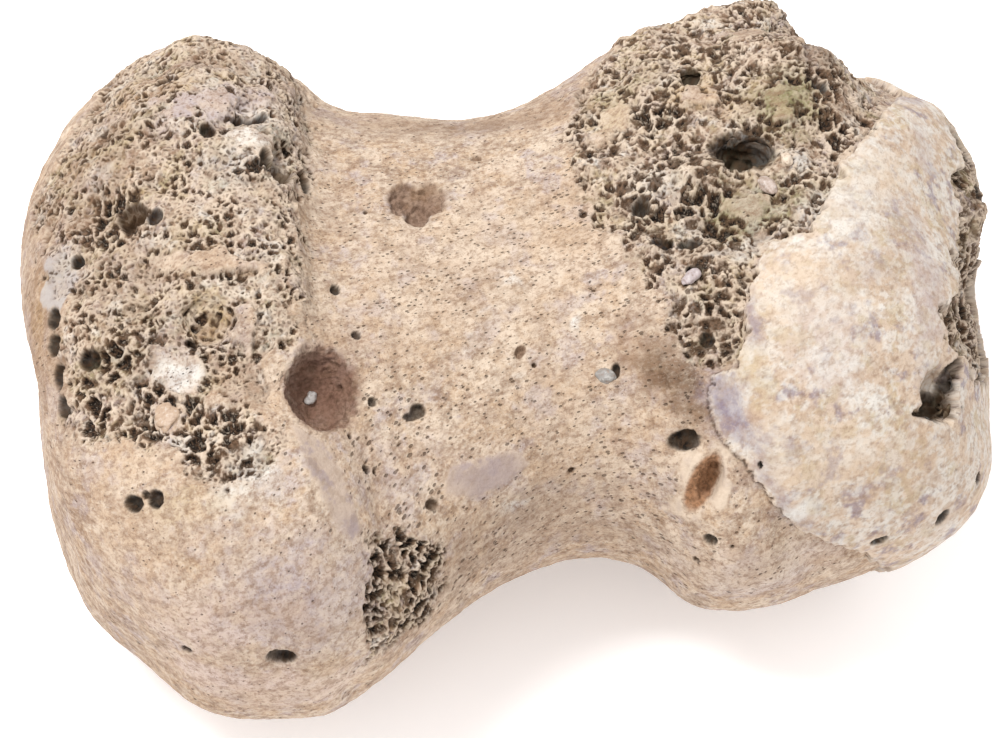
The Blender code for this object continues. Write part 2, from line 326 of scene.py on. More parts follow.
# Pits and vessel holes
# Vessels fed the bone through its holes, and wear opened the pits. The large ones are cut in the solid
# too, and all are sunk into the skin. A row gives a pit's place in the picture, its reach and its depth
# in mm and the colour of its floor, and its turn in degrees where it has one.
PITS = {
    "oval_pit": [((322, 392), (4.3, 5.6), 0.2, "red_brown", 18)],
    "heart_pit": [
        ((404, 201), (2, 2), 0.5, "brown"),
        ((430, 201), (2, 2), 0.5, "brown"),
        ((418, 216), (1.5, 1.8), 0.9, "brown"),
    ],
    "vessel_hole": [((683, 440), (2, 1.2), 0.6, "dark", 10)],
    "vessel_slot": [((702, 481), (1.5, 3.6), 0.2, "orange_brown", -24)],
    "deep_hole": [((741, 151), (4, 2.7), 0.5, "dark", -6)],
    "far_hole": [((690, 76), (1.3, 1.4), 1, "dark")],
    "crest_hole": [((812, 50), (1.4, 1.2), 1, "dark")],
    "ochre_pit_hole": [((193, 341), (0.9, 0.6), 1, "dark")],
    "scarp_pit": [
        ((286, 166), (1.7, 2.4), 1.8, "dark_brown", -10),
        ((304, 182), (1.2, 1.6), 1.4, "dark"),
        ((266, 157), (0.8, 1.5), 1.4, "dark"),
    ],
    "far_slot": [
        ((250, 114), (2.2, 0.9), 1.4, "dark", 12),
        ((208, 127), (1, 1.1), 1.2, "dark", 20),
        ((162, 78), (1.4, 0.6), 1, "dark_brown", 20),
    ],
    "left_brown_pit": [
        ((131, 214), (2, 1.9), 1.4, "dark_brown"),
        ((155, 216), (1, 1.2), 1.2, "dark"),
        ((88, 360), (1.3, 1.3), 1.2, "dark", 30),
    ],
    "rim_hole": [
        ((73, 259), (0.9, 0.9), 1.2, "dark"),
        ((52, 318), (1.1, 1.3), 1, "dark"),
        ((50, 345), (1.2, 1.3), 1, "dark"),
        ((53, 378), (1, 1.6), 1, "dark"),
        ((56, 408), (1.1, 1.5), 1, "dark"),
    ],
    "near_hole": [
        ((133, 504), (1.3, 1), 1.1, "dark"),
        ((155, 499), (1, 1.1), 1.1, "dark"),
        ((145, 495), (0.5, 0.5), 0.7, "dark"),
        ((281, 657), (1.8, 1.2), 1.2, "dark", 12),
        ((185, 651), (0.7, 0.6), 0.7, "dark", 20),
        ((134, 646), (0.4, 0.4), 0.6, "dark"),
    ],
    "shaft_hole": [
        ((335, 290), (0.6, 0.7), 0.8, "dark"),
        ((356, 336), (0.6, 0.6), 0.7, "dark"),
        ((418, 411), (0.9, 0.9), 0.9, "dark"),
        ((410, 417), (0.9, 0.5), 0.6, "dark"),
        ((372, 402), (0.6, 0.6), 0.6, "dark"),
        ((616, 371), (0.5, 0.9), 0.7, "dark"),
        ((520, 352), (0.6, 0.9), 0.6, "brown", -30),
        ((476, 158), (0.7, 0.5), 0.5, "brown"),
        ((368, 468), (0.6, 0.6), 0.6, "dark"),
        ((432, 505), (0.9, 0.7), 0.6, "dark_brown"),
    ],
    "sheet_hole": [
        ((877, 536), (1.1, 0.7), 0.8, "dark", 10),
        ((940, 514), (0.8, 1.2), 0.8, "dark", -30),
        ((978, 478), (0.6, 0.9), 0.8, "dark"),
        ((762, 463), (0.3, 0.5), 0.5, "dark"),
    ],
    "lobe_hole": [
        ((710, 540), (0.9, 0.8), 0.7, "dark"),
        ((696, 560), (0.5, 0.5), 0.6, "dark_brown"),
    ],
    "sponge_hole": [
        ((662, 240), (1.3, 1), 1.2, "dark"),
        ((690, 240), (1.5, 1), 1.2, "dark", 10),
        ((640, 205), (1.2, 1.2), 1.2, "dark"),
        ((694, 270), (1, 0.8), 1, "dark"),
        ((706, 338), (0.9, 0.9), 1, "dark"),
        ((820, 85), (1.1, 0.8), 1, "dark"),
    ],
    "strip_hole": [
        ((966, 165), (1, 2), 0.9, "dark"),
        ((965, 196), (0.9, 1.3), 0.9, "dark"),
        ((972, 250), (0.8, 2.2), 0.9, "dark"),
        ((972, 305), (0.8, 2), 0.9, "dark"),
    ],
}
# These are cut in the solid, so their places are looked up straight along the line of sight.
CUT_DEEP = ("oval_pit", "heart_pit", "vessel_hole", "vessel_slot", "deep_hole")

# Colours
# The bone took up iron, lime and manganese in the ground, and grew algae later. The colours are named as
# they look on the fossil, in screen red, green and blue from 0 to 255.
COLOURS = {
    "cream": (231, 207, 184),
    "bright_cream": (240, 219, 196),
    "tan": (203, 174, 148),
    "warm": (214, 183, 152),
    "grey_brown": (178, 154, 134),
    "brown": (150, 118, 94),
    "dark_brown": (84, 61, 42),
    "dark": (20, 13, 9),
    "lavender": (152, 137, 150),
    "pale_lavender": (201, 186, 186),
    "chalk": (247, 242, 234),
    "green": (148, 141, 100),
    "ochre": (196, 160, 110),
    "red_brown": (134, 98, 82),
    "orange_brown": (178, 130, 94),
    "pink_cream": (236, 213, 202),
    "filler": (196, 175, 162),
    "yellow_tan": (206, 184, 146),
    "grey": (156, 150, 144),
    "glassy": (206, 200, 196),
}


# The picture is brightly lit, so every surface is darker than it looks there.
UNDER_WHITE_LIGHT = 0.60


def from_screen(colour):
    """The share of the light that a surface of this colour sends back."""
    share = np.array(COLOURS[colour]) / 255.0
    return np.where(share <= 0.04045, share / 12.92, ((share + 0.055) / 1.055) ** 2.4) * UNDER_WHITE_LIGHT


def mix_in(tones, colour, amount, near=slice(None)):
    """Lays a colour over the tones of the whole skin, or of the places near a spot."""
    amount = np.clip(amount, 0.0, 1.0)[:, None]
    tones[near] = tones[near] * (1.0 - amount) + from_screen(colour) * amount


def smooth(low, high, values):
    t = np.clip((values - low) / (high - low), 0.0, 1.0)
    return t * t * (3.0 - 2.0 * t)


def fade(away):
    """Full in the middle of a spot, and gone a little past its reach."""
    return np.exp(-(away**4))


# Stains and pale patches, with some painted shade and painted highlight: colour, place in the picture, reach
# in mm, strength, and turn where there is one.
STAINS_AND_PAINTED_LIGHT = (
    ("pale_lavender", (290, 600), (11, 8), 0.9),
    ("pink_cream", (260, 690), (13, 5), 1),
    ("pink_cream", (180, 620), (9, 6), 0.8),
    ("tan", (150, 540), (10, 5), 0.5),
    # Painted highlight: a bright cream patch on the middle of the shaft, where the light falls full on it.
    ("bright_cream", (480, 240), (7, 5), 0.8, 20),
    ("warm", (400, 330), (8, 6), 0.5, 30),
    ("pale_lavender", (380, 480), (5, 6), 0.5, 20),
    ("tan", (560, 400), (7, 6), 0.5, -30),
    # Painted shade: the shaft's lower side is painted grey-brown where it turns down from the light.
    ("grey_brown", (540, 500), (14, 4.5), 0.8, 10),
    ("pink_cream", (760, 582), (10, 5), 1),
    ("brown", (110, 100), (6, 6), 0.6, 40),
    ("brown", (60, 200), (4, 7), 0.6, -20),
    # Painted shade: a grey-brown strip along the shaft's top edge, where it turns away from the light.
    ("grey_brown", (440, 128), (18, 4), 0.95),
    ("brown", (560, 100), (6, 4), 0.5, 40),
    ("cream", (430, 290), (16, 10), 0.5, 20),
    # The neck under the lip of the roller sheet is painted brown and dark brown in these three rows: the
    # bone's own brown, and painted shade under the lip.
    ("brown", (655, 365), (6.5, 4.2), 1, -50),
    ("brown", (690, 402), (5, 2.8), 0.9, -55),
    ("dark_brown", (670, 378), (5.5, 3), 0.7, -52),
    # Painted shade: a brown strip along the shaft's top edge, where it turns away from the light.
    ("brown", (440, 124), (17, 3), 0.45),
    ("chalk", (750, 582), (9, 4), 0.5),
    # Painted shade in lavender on the lip of the roller sheet, where it faces away from the light.
    ("lavender", (776, 492), (1.6, 6), 0.8, 40),
    ("red_brown", (640, 335), (3, 3), 0.4, -40),
    ("tan", (640, 450), (7, 5), 0.5),
    # Painted shade in grey-brown along the shaft's lower edge, in these two rows.
    ("grey_brown", (580, 530), (12, 3), 0.6),
    ("grey_brown", (470, 560), (7, 5), 0.6, 30),
    ("warm", (560, 220), (6, 6), 0.6),
    ("bright_cream", (520, 320), (9, 6), 0.6, 20),
    ("grey_brown", (330, 210), (3, 8), 0.35),
    ("tan", (340, 330), (4, 5), 0.6),
    ("ochre", (150, 95), (10, 3.4), 0.6, 30),
    ("brown", (240, 66), (7, 3), 0.6, 10),
    ("grey_brown", (90, 120), (4, 4), 0.6, 30),
    ("pale_lavender", (190, 110), (7, 2.5), 0.7, 25),
    ("pale_lavender", (280, 90), (4, 5), 0.5),
    ("chalk", (262, 130), (4.5, 5), 0.5),
    ("bright_cream", (225, 190), (6, 4), 0.5),
    ("brown", (100, 210), (7, 5), 0.6, 50),
    ("dark_brown", (120, 240), (4, 3), 0.3),
    ("grey_brown", (160, 265), (7, 4), 0.6, 20),
    ("lavender", (175, 315), (3, 3), 0.6),
    ("green", (125, 320), (5, 3), 0.5, 20),
    ("chalk", (174, 372), (4.2, 2.6), 1, -12),
    ("chalk", (185, 368), (2.6, 1.3), 0.9),
    ("pale_lavender", (160, 350), (4, 1.8), 0.6),
    ("tan", (32, 300), (7, 14), 0.6),
    ("brown", (34, 330), (6, 13), 0.9),
    ("ochre", (36, 310), (3, 5), 0.5),
    ("brown", (30, 255), (3, 8), 0.6),
    ("brown", (50, 360), (1.8, 9), 0.9),
    ("brown", (60, 430), (2, 6), 0.7),
    ("brown", (36, 225), (3, 5), 0.7),
    ("brown", (95, 160), (7, 6), 0.85, 40),
    ("grey_brown", (120, 265), (7, 10), 0.7),
    ("brown", (85, 200), (4.5, 8), 0.6, -20),
    ("yellow_tan", (130, 135), (7, 1.8), 0.9, 35),
    ("ochre", (140, 180), (3.5, 2), 0.6, 30),
    ("dark_brown", (112, 130), (5, 0.9), 0.6, 40),
    ("brown", (200, 62), (8, 1.6), 0.8, 12),
    ("pale_lavender", (205, 98), (8, 2.6), 1, 18),
    ("chalk", (250, 150), (6.5, 5), 0.7, 20),
    ("yellow_tan", (215, 315), (3.2, 3.2), 0.9),
    ("ochre", (211, 324), (2.4, 2.6), 0.9),
    ("dark_brown", (120, 365), (6, 3), 0.5, 10),
    ("tan", (215, 265), (9, 2), 0.7, -8),
    ("lavender", (240, 330), (2.5, 3.5), 0.4),
    ("chalk", (662, 178), (4.5, 3), 0.75),
    ("chalk", (640, 215), (2, 4), 0.5, 20),
    ("ochre", (705, 92), (6, 3.5), 0.6),
    ("yellow_tan", (610, 110), (4, 6), 0.6, -30),
    ("dark_brown", (815, 62), (3.5, 3), 0.7),
    ("dark_brown", (780, 140), (6, 1.4), 0.5, -20),
    ("brown", (840, 108), (4, 3), 0.6),
    ("ochre", (765, 222), (3.5, 2), 0.7, 30),
    ("chalk", (740, 250), (6, 1), 0.8, 20),
    ("bright_cream", (745, 290), (1.4, 3), 0.9),
    ("lavender", (905, 100), (3, 3), 0.8),
    ("lavender", (865, 275), (6, 1.8), 0.6, 30),
    ("lavender", (900, 225), (2, 5), 0.5, -10),
    ("yellow_tan", (752, 372), (2, 6), 0.6, 15),
    ("warm", (770, 450), (4, 6), 0.7, 30),
    ("chalk", (840, 205), (5, 6), 0.7, 40),
    ("lavender", (360, 560), (2, 4), 0.6),
    ("tan", (160, 520), (8, 3), 0.7),
    ("ochre", (205, 560), (5, 1.6), 0.5),
    ("warm", (260, 610), (5, 2), 0.5),
    ("tan", (240, 380), (5, 3), 0.8, -30),
    ("red_brown", (262, 372), (1.8, 2.8), 0.5),
    ("red_brown", (322, 392), (4.4, 5.6), 0.9, 18),
    ("chalk", (245, 485), (4.5, 3), 0.9, 30),
    ("chalk", (262, 462), (2, 2.4), 0.9),
    ("chalk", (180, 445), (0.7, 2), 0.9, 15),
    ("warm", (120, 465), (7, 3), 0.7, 5),
    ("yellow_tan", (190, 510), (6, 3), 0.5),
    ("bright_cream", (220, 535), (8, 3), 0.5),
    ("lavender", (300, 590), (6, 5), 0.25),
    ("pale_lavender", (270, 570), (7, 5), 0.5, 10),
    ("tan", (120, 580), (6, 5), 0.5),
    ("warm", (250, 700), (9, 3), 0.5, 5),
    ("brown", (80, 480), (2, 5), 0.4),
    ("lavender", (485, 480), (4, 2.2), 0.8, 15),
    ("chalk", (508, 508), (1.8, 0.9), 0.6, 20),
    ("pale_lavender", (430, 450), (3, 4), 0.4),
    ("green", (785, 98), (5.5, 5.5), 1),
    ("green", (748, 208), (7, 4.5), 1, 10),
    ("green", (640, 75), (4, 4), 0.4),
    ("bright_cream", (700, 165), (8, 2.2), 0.7, 5),
    ("grey_brown", (745, 20), (6, 1.6), 0.8),
    ("dark_brown", (680, 250), (6, 4), 0.45),
    ("dark_brown", (715, 330), (2.5, 5), 0.5, 10),
    ("bright_cream", (810, 300), (7, 7), 0.7, 30),
    ("bright_cream", (880, 180), (5, 5), 0.7, 50),
    ("tan", (870, 260), (6, 4), 0.5, 40),
    # Painted shade in pale lavender on the right of the roller sheet, where it curves away from the light, in
    # these two rows.
    ("pale_lavender", (925, 290), (3, 9), 0.7),
    ("pale_lavender", (920, 150), (2.5, 4), 0.6),
    # Painted shade in lavender on the lip of the roller sheet, where it faces away from the light, in these
    # two rows.
    ("lavender", (724, 398), (2.8, 4.6), 1, 15),
    ("lavender", (752, 440), (1.4, 6), 0.8, 35),
    ("lavender", (752, 320), (1, 4), 0.7, 5),
    ("pale_lavender", (830, 350), (5, 6), 0.5),
    ("bright_cream", (830, 460), (8, 4), 0.6),
    ("chalk", (800, 510), (2.2, 1.3), 0.9, -20),
    ("warm", (900, 460), (7, 4), 0.5, 20),
    ("tan", (935, 520), (5, 2.5), 0.5, 20),
    ("warm", (740, 575), (8, 3), 0.6),
    ("chalk", (580, 322), (1, 0.9), 0.9),
    ("chalk", (487, 308), (1.1, 0.9), 0.9),
    ("chalk", (511, 283), (1.1, 0.9), 0.9),
    ("chalk", (467, 340), (1.1, 0.9), 0.8),
    ("chalk", (518, 372), (1, 0.9), 0.7),
    ("chalk", (543, 402), (0.6, 0.6), 0.5),
)

# No stain, painted shade or painted highlight has a clean outline, so the places are shaken by short waves
# before they are laid.
WAVES = 16
WAVE_LENGTHS = (1.0, 6.0)
WAVE_PUSH = 0.075
WAVE_PHASES = (0.0, 6.0)
shaker = np.random.default_rng(5)
shaken = skin_places.copy()
for _ in range(WAVES):
    wave_length = shaker.uniform(*WAVE_LENGTHS)
    heading = shaker.normal(size=3)
    heading *= 2.0 * math.pi / wave_length / np.linalg.norm(heading)
    wave = np.sin(skin_places @ heading.astype(np.float32) + shaker.uniform(*WAVE_PHASES))
    shaken += wave[:, None] * (shaker.normal(size=3) * wave_length * WAVE_PUSH).astype(np.float32)

# Mud, lime and algae choke the open cells in places, and leave a crust with only fine pores.
CRUST_FADE = 3.0
CRUSTS = (
    ((174, 372), (3.2, 2), -10),
    ((195, 100), (6.5, 1.5), 20),
    ((215, 262), (6, 1.3), -6),
    ((243, 325), (1.8, 2.6)),
    ((258, 145), (2.4, 2), 20),
    ((748, 22), (5.5, 1.6)),
    ((782, 100), (1.7, 2.2)),
    ((750, 203), (2.6, 1.2), 10),
    ((700, 96), (1.8, 0.9)),
    ((612, 120), (1.8, 3.4), -20),
    ((165, 415), (2, 1.6), -20),
)
for pixel, reach, *turn in CRUSTS:
    near, away = spot(pixel, reach, *turn, places=shaken)
    sponge[near] = np.minimum(sponge[near], (away - 1.0) * CRUST_FADE)

# Ground colours: colour, what it follows, where along that it begins and is full, and its strength.
STRIP_RIM = -0.3
SHEET_LOST = 4.0
dark_sponge = np.maximum(low_sponge, tubercle_band)
whole_sheet = roller_sheet - SHEET_LOST * (broken_strip > STRIP_RIM)
GROUND_COLOURS = (
    ("tan", skin_x, -24.0, -36.0, 0.7),
    ("brown", skin_x, -45.0, -51.0, 0.55),
    ("grey_brown", skin_x, 10.0, 34.0, 0.3),
    ("warm", skin_angle, 200.0, 240.0, 0.6),
    ("grey_brown", sponge, -0.6, 1.0, 0.6),
    ("brown", dark_sponge, -0.6, 1.0, 0.7),
    ("cream", whole_sheet, -0.2, 0.3, 1.0),
    ("dark_brown", broken_strip, -0.5, 0.6, 0.7),
)
tones = np.tile(from_screen("cream"), (skin_count, 1))
for colour, field, begins, full, strength in GROUND_COLOURS:
    mix_in(tones, colour, smooth(begins, full, field) * strength)
# How strongly the listed stains, painted shade and painted highlights cover each place; tints and pale
# streaks show less there.
stain_and_painted_light_share = np.zeros(skin_count, np.float32)
for colour, pixel, reach, strength, *turn in STAINS_AND_PAINTED_LIGHT:
    near, away = spot(pixel, reach, *turn, places=shaken)
    amount = fade(away) * strength
    mix_in(tones, colour, amount, near)
    stain_and_painted_light_share[near] = np.maximum(stain_and_painted_light_share[near], amount)

# Resin filler
# A preparator filled two cracks, the ring round the vessel slot and a patch at the left rim with resin,
# which is smooth, a little glossy and hides the pores.
FILLER_EDGE = (-0.4, 0.6)
FILLER_STRENGTH = 0.6
PATCH_HEIGHT = 2.0
PATCH_EDGE = (1.05, 0.92)
PATCH_STRENGTH = 0.75
CLEAN_EDGE = (1.1, 0.9)
FILLED_CRACKS = (
    ((290, 424), (312, 428), (332, 452), (350, 490), (362, 530), (350, 542), (330, 520), (306, 470)),
    ((446, 470), (478, 458), (520, 450), (530, 464), (505, 484), (470, 498), (446, 494)),
)
FILLED_SPOTS = (
    ("bright_cream", (703, 481), (3, 5), -24, True),
    ("glassy", (57, 282), (2.7, 3.9), 10, False),
)
filler = np.maximum.reduce([inside(outline_of(*crack)) for crack in FILLED_CRACKS])
mix_in(tones, "filler", smooth(*FILLER_EDGE, filler) * FILLER_STRENGTH)
for colour, pixel, reach, turn, round_a_pit in FILLED_SPOTS:
    near, away = spot(pixel, reach, turn, shaken, looking_in=round_a_pit)
    filler[near] = np.maximum(filler[near], (1.0 - away) * PATCH_HEIGHT)
    mix_in(tones, colour, smooth(*PATCH_EDGE, away) * PATCH_STRENGTH, near)
    stain_and_painted_light_share[near] = np.maximum(stain_and_painted_light_share[near], smooth(*CLEAN_EDGE, away))

# The floor and walls of a pit have its own colour, which covers most of the pores and stains there.
PIT_RIM = 1.15
PIT_EDGE = (PIT_RIM, 0.85)
COVER_EDGE = (1.10, 0.85)
DARK_COVER = 0.97
PALE_COVER = 0.75
pit_share = np.full(skin_count, FAR_OFF, np.float32)
pit_depth = np.zeros(skin_count, np.float32)
pit_cover = np.zeros(skin_count, np.float32)
for name, pits in PITS.items():
    for pixel, reach, deep, colour, *turn in pits:
        near, away = spot(pixel, reach, *turn, looking_in=name in CUT_DEEP)
        pit_depth[near[away < pit_share[near]]] = deep
        pit_share[near] = np.minimum(pit_share[near], away)
        mix_in(tones, colour, smooth(*PIT_EDGE, away), near)
        cover = smooth(*COVER_EDGE, away) * (DARK_COVER if colour == "dark" else PALE_COVER)
        pit_cover[near] = np.maximum(pit_cover[near], cover)

# The three-cornered hole at the foot of the strip is a pit with corners, so it comes from its outline.
HOLE_EDGE = (-0.3, 0.4)
HOLE_SHARE = 0.8
HOLE_DEPTH = 1.3
hollow = smooth(*HOLE_EDGE, broken_hole)
mix_in(tones, "dark", hollow)
pit_share = np.where(hollow > 0.5, HOLE_SHARE, pit_share)
pit_depth = np.where(hollow > 0.5, HOLE_DEPTH, pit_depth)
pit_cover = np.maximum(pit_cover, hollow * DARK_COVER)
filler = np.where(pit_share < PIT_RIM, -1.0, filler)

# Worn surface
# Years in river gravel rubbed the bone down, opened its pores and left it lumpy. How open the pores are
# runs from 0 on the polished sheet to 1 on the roughest bone. A row gives a place in the picture, a
# reach in mm, how much more open it is there, and a turn.
OPEN_EVERYWHERE = 0.34
TUBERCLE_CLOSING = 0.65
ROUGHNESS = (
    ((600, 180), (5, 10), 0.4, -40),
    ((640, 300), (4, 8), 0.35, 40),
    ((430, 260), (9, 9), 0.16),
    ((540, 420), (9, 8), 0.22),
    ((410, 500), (6, 8), 0.4),
    ((470, 570), (8, 5), 0.4),
    ((640, 500), (9, 6), 0.3),
    ((760, 580), (11, 5), 0.12),
    ((700, 420), (3, 7), 0.3, 50),
    ((322, 392), (6, 7), 0.4),
    ((420, 400), (8, 3), 0.25),
    ((380, 440), (5, 5), 0.3),
)
openness = np.full(skin_count, OPEN_EVERYWHERE, np.float32)
for pixel, reach, amount, *turn in ROUGHNESS:
    near, away = spot(pixel, reach, *turn)
    openness[near] += amount * fade(away)
near_tubercle_skin = inside(outline_of(
    (62, 446), (104, 446), (140, 438), (176, 452), (190, 482), (240, 486), (285, 470), (310, 520),
    (352, 590), (352, 660), (300, 700), (220, 690), (140, 640), (90, 590),
))
openness *= 1.0 - TUBERCLE_CLOSING * smooth(-2.0, 1.5, near_tubercle_skin)
openness *= 1.0 - smooth(-0.3, 0.6, roller_sheet)
openness *= 1.0 - smooth(-0.4, 0.1, filler)

# Where the weathered bone stands out past the solid or falls short of it: place in the picture, reach
# in mm, height in mm, and turn. On the outline itself the height is looked up along the line of sight.
SWELLING_FALL = 1.5
OUTLINE_SWELLINGS = (
    ((990, 400), (5, 8), -1.9),
    ((985, 215), (4, 8), 0.5),
    ((38, 400), (5, 9), -1.1),
    ((955, 128), (4, 4), -0.7),
    ((64, 548), (5, 5), -0.7),
    ((150, 668), (9, 5), -1),
    ((762, 604), (5, 4), -1.3),
    ((860, 574), (6, 4), -0.6),
    ((780, 8), (5, 4), -0.5),
    ((352, 692), (2.4, 2.4), -0.9),
)
SWELLINGS = (
    ((832, 54), (5, 5), 1.8),
    ((775, 8), (9, 5), -2.4),
    ((700, 16), (6, 4), 0.7),
    ((215, 50), (9, 4), 1.9),
    ((300, 92), (4, 4), 0.7),
    ((78, 120), (5, 5), 0.7, 40),
    ((650, 34), (5, 4), 0.8),
    ((966, 215), (5, 8), 2.3),
    ((690, 600), (4, 4), 0.6),
    ((400, 112), (6, 4), 0.3),
    ((211, 322), (3, 3.2), -0.4),
    ((705, 168), (9, 2.4), 1.3, 2),
    ((738, 142), (5, 2.6), -1.3),
    ((700, 218), (7, 3.4), -1.2),
    ((690, 345), (5, 2.2), -0.9, -52),
    ((655, 100), (4, 4), 0.7),
    ((148, 290), (2.6, 9), -1, -6),
    ((96, 215), (3.4, 8), -0.8, -16),
    ((120, 150), (3, 7), 0.8, -35),
    ((235, 230), (6, 10), 0.7),
    ((225, 120), (4, 3), -0.6, 20),
    ((250, 372), (3, 7), -1.1, 40),
    ((300, 470), (2.4, 8), 0.8, 30),
    ((385, 505), (3, 8), -0.8, 25),
    ((150, 425), (9, 3.4), -0.5, -10),
    ((905, 385), (6, 4), -0.6, -20),
)
swelling = np.zeros(skin_count, np.float32)
for swell in OUTLINE_SWELLINGS + SWELLINGS:
    pixel, reach, height, *turn = swell
    near, away = spot(pixel, reach, *turn, looking_in=swell in OUTLINE_SWELLINGS)
    swelling[near] += height * np.exp(-(away**2) * SWELLING_FALL)

# How wide the open cells are: 1 in the roller's honeycomb, less in the finer sponge of the near end.
# The rows give a zone, where its edge begins and is full, and the width of its cells.
CELL_WIDTHS = (
    (far_sponge, -1.0, 2.0, 0.30),
    (dark_sponge, -1.0, 1.0, 1.0),
    (np.maximum(broken_strip, broken_hole), -0.5, 0.5, 0.6),
    (far_top, -1.0, 1.0, 0.12),
)
WIDE_CELL_SPOTS = (
    ((690, 215), (7.5, 5)), ((700, 300), (4, 6), 15), ((845, 130), (5, 2.5), 40), ((650, 120), (4, 3)),
    ((790, 70), (3, 3)), ((125, 360), (5, 3)), ((262, 150), (3, 4)), ((110, 215), (4, 4)),
)
coarse = np.maximum.reduce([smooth(begins, full, zone) * width for zone, begins, full, width in CELL_WIDTHS])
for pixel, reach, *turn in WIDE_CELL_SPOTS:
    near, away = spot(pixel, reach, *turn)
    coarse[near] = np.maximum(coarse[near], fade(away))

# The shaft's grain rises obliquely to the roller. These places run along it and are squeezed that way.
GRAIN_TURN = math.radians(24.0)
GRAIN_SQUEEZE = 0.68
around = skin_angle * ANGLE_TO_MM
grain_places = np.stack([
    (skin_x * math.cos(GRAIN_TURN) - around * math.sin(GRAIN_TURN)) * GRAIN_SQUEEZE,
    skin_x * math.sin(GRAIN_TURN) + around * math.cos(GRAIN_TURN),
    np.zeros(skin_count),
], 1)

store(skin, "rest", skin_places + AXIS_PLACE_MM, "FLOAT_VECTOR")
store(skin, "grain_places", grain_places, "FLOAT_VECTOR")
store(skin, "tone", np.concatenate([tones, np.ones((skin_count, 1))], 1), "FLOAT_COLOR")
for name, values in (
    ("sponge", sponge), ("sheet", roller_sheet), ("filler", filler), ("openness", openness),
    ("pit_share", pit_share), ("pit_depth", pit_depth), ("pit_cover", pit_cover), ("coarse", coarse),
    ("stain_and_painted_light_share", stain_and_painted_light_share), ("swelling", swelling),
):
    store(skin, name, values)

# Relief of pores, cells and broken edges
# Weathering opened the bone's own cells. They are sunk into the skin along its normals, round the
# zones above: large cells in the sponge, scattered pores elsewhere, and a step at the sheet's edge.
WIDE_CELL = 2.1
WIDE_CELL_DEPTH = 1.4
FINE_CELL = 1.15


class Wire:
    """An output socket of a node tree, which can be used in sums. A sum adds its own nodes to the tree."""

    def __init__(self, tree, socket=None):
        self.tree = tree
        self.socket = socket

    def node(self, kind, settings=None, inputs=None, output=0):
        made = self.tree.nodes.new(kind)
        for name, value in (settings or {}).items():
            setattr(made, name, value)
        for name, value in (inputs or {}).items():
            if isinstance(value, Wire):
                self.tree.links.new(value.socket, made.inputs[name])
            else:
                made.inputs[name].default_value = value
        return Wire(self.tree, made.outputs[output])

    def math(self, operation, *values):
        return self.node("ShaderNodeMath", {"operation": operation}, dict(enumerate(values)))

    def __add__(self, other):
        return self.math("ADD", self, other)

    def __radd__(self, other):
        return self.math("ADD", other, self)

    def __sub__(self, other):
        return self.math("SUBTRACT", self, other)

    def __rsub__(self, other):
        return self.math("SUBTRACT", other, self)

    def __mul__(self, other):
        return self.math("MULTIPLY", self, other)

    def __rmul__(self, other):
        return self.math("MULTIPLY", other, self)

    def step(self, low, high):
        """Rises smoothly from 0 to 1 while the value goes from low to high."""
        settings = {"interpolation_type": "SMOOTHSTEP"}
        return self.node("ShaderNodeMapRange", settings, {"Value": self, "From Min": low, "From Max": high})

    def vector_math(self, operation, *values):
        return self.node("ShaderNodeVectorMath", {"operation": operation}, dict(enumerate(values)))

    def scaled(self, factor):
        return self.node("ShaderNodeVectorMath", {"operation": "SCALE"}, {0: self, "Scale": factor})

    def noise(self, per_mm, detail=3.0, roughness=0.5):
        inputs = {"Vector": self, "Scale": per_mm, "Detail": detail, "Roughness": roughness}
        return self.node("ShaderNodeTexNoise", {}, inputs)

    def other(self, output):
        """Another output of the node that this one comes from."""
        return Wire(self.tree, self.socket.node.outputs[output])

    def pores(self, spacing, small, large, softness=0.16):
        """Round pores, 1 inside and 0 between. Their radii, small to large, are shares of the spacing."""
        away = self.node("ShaderNodeTexVoronoi", {}, {"Vector": self, "Scale": 1.0 / spacing})
        chance = self.node("ShaderNodeSeparateXYZ", {}, {0: away.other("Color")})
        radius = small + (large - small) * chance * chance
        return (radius - away).step(-0.02, softness)

    def off_walls(self, spacing):
        """Distance from the walls of a honeycomb, as a share of the spacing of its cells."""
        inputs = {"Vector": self, "Scale": 1.0 / spacing}
        return self.node("ShaderNodeTexVoronoi", {"feature": "DISTANCE_TO_EDGE"}, inputs)

    def spongy(self, coarse):
        """How deep the open cells of spongy bone go, in mm. Hard mud chokes the wide ones here and there."""
        bent = self.vector_math("ADD", self, self.noise(0.8, 2.0).other("Color").scaled(1.5))
        free = self.noise(0.26, 4.0, 0.62).step(0.56, 0.46)
        wide = bent.off_walls(WIDE_CELL).step(0.08, 0.20) * coarse * (0.25 + 0.75 * free)
        fine = bent.off_walls(FINE_CELL).step(0.12, 0.27) * (0.10 + 0.74 * free)
        return wide * WIDE_CELL_DEPTH + fine * (1.0 - 0.8 * wide)

    def mixed(self, colour, amount):
        """This colour with a named one laid over it."""
        inputs = {0: amount, 6: self, 7: (*from_screen(colour), 1.0)}
        return self.node("ShaderNodeMix", {"data_type": "RGBA"}, inputs, output=2)

    def feeds(self, socket):
        self.tree.links.new(self.socket, socket)


